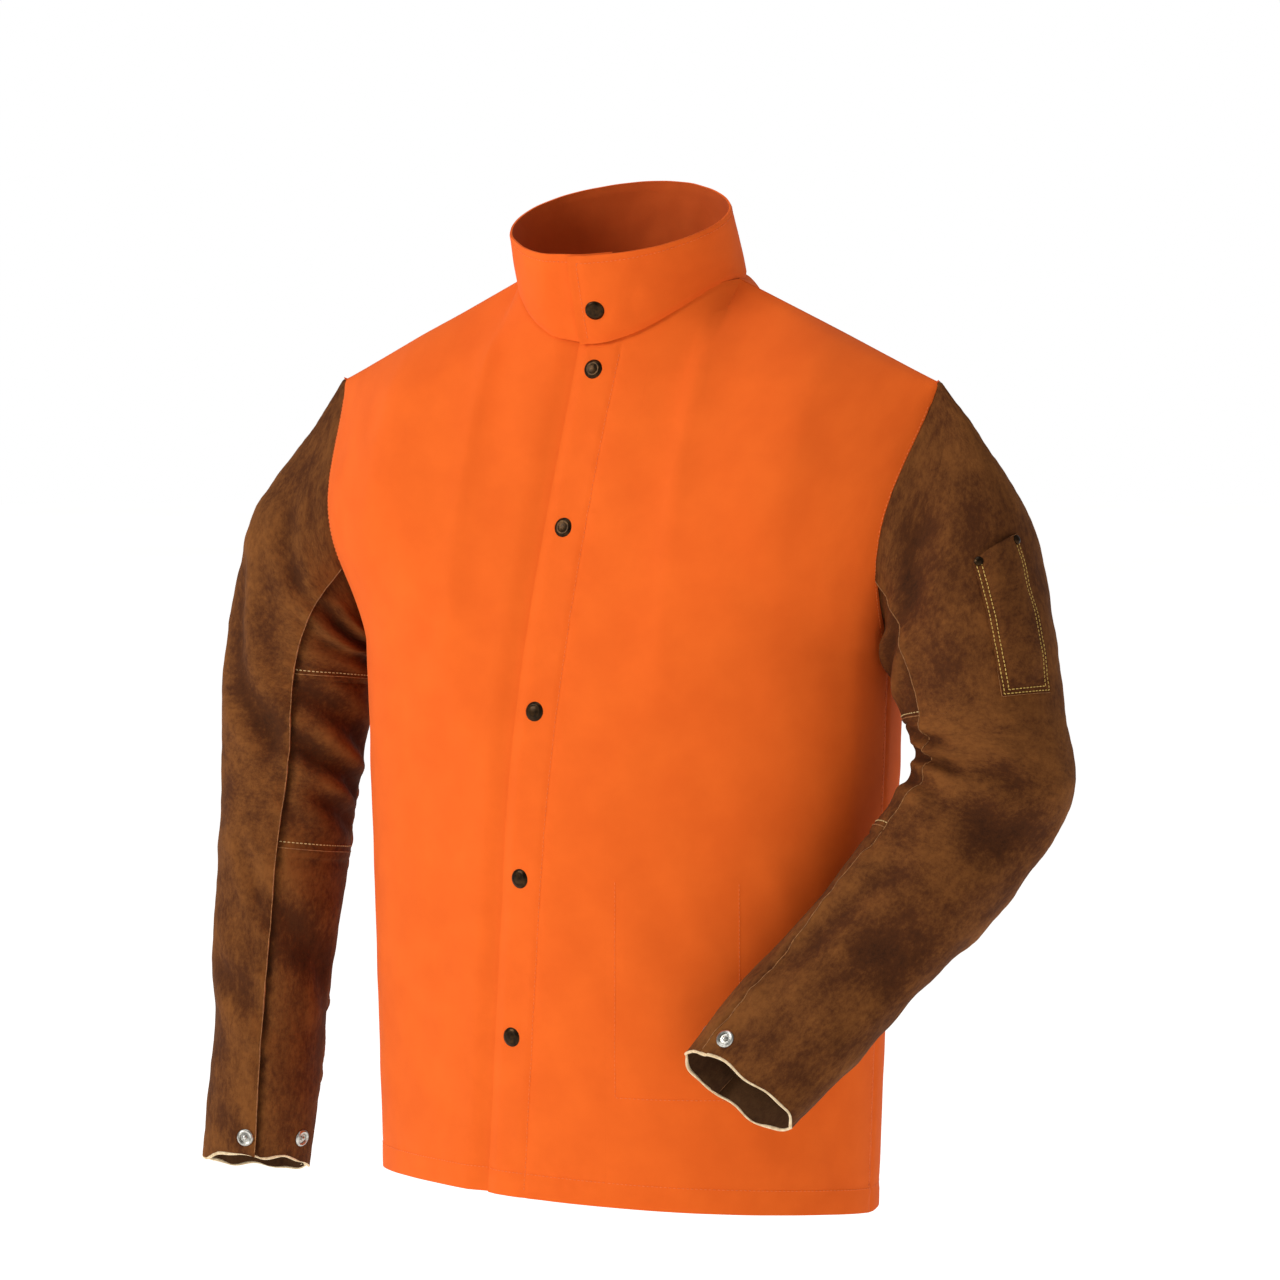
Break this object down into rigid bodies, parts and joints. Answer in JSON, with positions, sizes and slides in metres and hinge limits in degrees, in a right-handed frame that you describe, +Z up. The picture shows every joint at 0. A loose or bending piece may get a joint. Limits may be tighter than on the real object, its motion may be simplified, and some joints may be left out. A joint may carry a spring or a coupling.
{
  "type": "welding jacket",
  "caption": "Hybrid welding jacket: flame-resistant cotton body with stand-up collar and snap front, split-leather sleeves with snap cuffs and a riveted scribe pocket.",
  "frame": {"origin": "middle of the neck opening, level with the shoulder neck points, where the wearer or a form carries the jacket", "axes": "+Z up, front faces -Y, +X is the wearer's left"},
  "size_m": [0.7768, 0.3537, 0.839],
  "materials": {
    "cotton": "matte woven flame-resistant cotton, bright orange",
    "cotton_inside": "matte inside face of the same orange cotton",
    "split_leather": "napped brown side-split cowhide, mottled",
    "antique_metal": "dark antique finish, low sheen",
    "nickel": "nickel plate, slightly worn"
  },
  "bodies": {
    "torso": {"back_panel": "cotton", "left_front": "cotton", "left_front_neck": "cotton", "left_facing_neck": "cotton_inside", "right_front": "cotton", "right_facing": "cotton_inside", "inside_pocket": "cotton_inside", "collar_outer": "cotton", "collar_lining": "cotton_inside", "collar_snap_cap": "antique_metal", "collar_snap_socket": "nickel", "collar_snap_stud": "nickel", "collar_snap_post": "nickel", "front_snap_1_cap": "antique_metal", "front_snap_1_socket": "nickel", "front_snap_1_stud": "nickel", "front_snap_1_post": "nickel", "front_snap_2_stud": "nickel", "front_snap_2_post": "nickel", "front_snap_3_stud": "nickel", "front_snap_3_post": "nickel", "front_snap_4_stud": "nickel", "front_snap_4_post": "nickel", "front_snap_5_stud": "nickel", "front_snap_5_post": "nickel"},
    "left_front_flap": {"left_strip": "cotton", "left_strip_bend": "cotton", "left_facing": "cotton_inside", "front_snap_2_cap": "antique_metal", "front_snap_2_socket": "nickel", "front_snap_3_cap": "antique_metal", "front_snap_3_socket": "nickel", "front_snap_4_cap": "antique_metal", "front_snap_4_socket": "nickel", "front_snap_5_cap": "antique_metal", "front_snap_5_socket": "nickel"},
    "left_upper_arm": {"left_top_sleeve_head": "split_leather", "left_under_sleeve_head": "split_leather", "left_top_sleeve_upper": "split_leather", "left_under_sleeve_upper": "split_leather", "sleeve_pocket": "split_leather", "sleeve_pocket_rivet_front": "antique_metal", "sleeve_pocket_rivet_rear": "antique_metal"},
    "left_forearm": {"left_top_sleeve_elbow": "split_leather", "left_under_sleeve_elbow": "split_leather", "left_top_sleeve_forearm": "split_leather", "left_under_sleeve_forearm": "split_leather", "left_cuff_stud": "nickel", "left_cuff_socket": "nickel"},
    "right_upper_arm": {"right_top_sleeve_head": "split_leather", "right_under_sleeve_head": "split_leather", "right_top_sleeve_upper": "split_leather", "right_under_sleeve_upper": "split_leather"},
    "right_forearm": {"right_top_sleeve_elbow": "split_leather", "right_under_sleeve_elbow": "split_leather", "right_top_sleeve_forearm": "split_leather", "right_under_sleeve_forearm": "split_leather", "right_cuff_stud": "nickel", "right_cuff_socket": "nickel"}
  },
  "joints": [
    {"name": "left_front_opening", "type": "hinge", "parent": "torso", "child": "left_front_flap", "pos_m": [0.0558, -0.1475, -0.45], "axis": [0, 0, 1], "range_deg": [0, 75], "deforming": ["left_strip_bend"]},
    {"name": "left_sleeve_raise", "type": "hinge", "parent": "torso", "child": "left_upper_arm", "pos_m": [0.262, 0, -0.19], "axis": [0, -1, 0], "range_deg": [0, 40], "deforming": ["left_top_sleeve_head", "left_under_sleeve_head"]},
    {"name": "right_sleeve_raise", "type": "hinge", "parent": "torso", "child": "right_upper_arm", "pos_m": [-0.262, 0, -0.197], "axis": [0, 1, 0], "range_deg": [0, 40], "deforming": ["right_top_sleeve_head", "right_under_sleeve_head"]},
    {"name": "left_elbow_bend", "type": "hinge", "parent": "left_upper_arm", "child": "left_forearm", "pos_m": [0.331, -0.016, -0.404], "axis": [-0.7276, 0.686, 0], "range_deg": [-38, 40], "deforming": ["left_top_sleeve_elbow", "left_under_sleeve_elbow"]},
    {"name": "right_elbow_bend", "type": "hinge", "parent": "right_upper_arm", "child": "right_forearm", "pos_m": [-0.316, -0.02, -0.422], "axis": [-1, 0, 0], "range_deg": [0, 95], "deforming": ["right_top_sleeve_elbow", "right_under_sleeve_elbow"]}
  ]
}
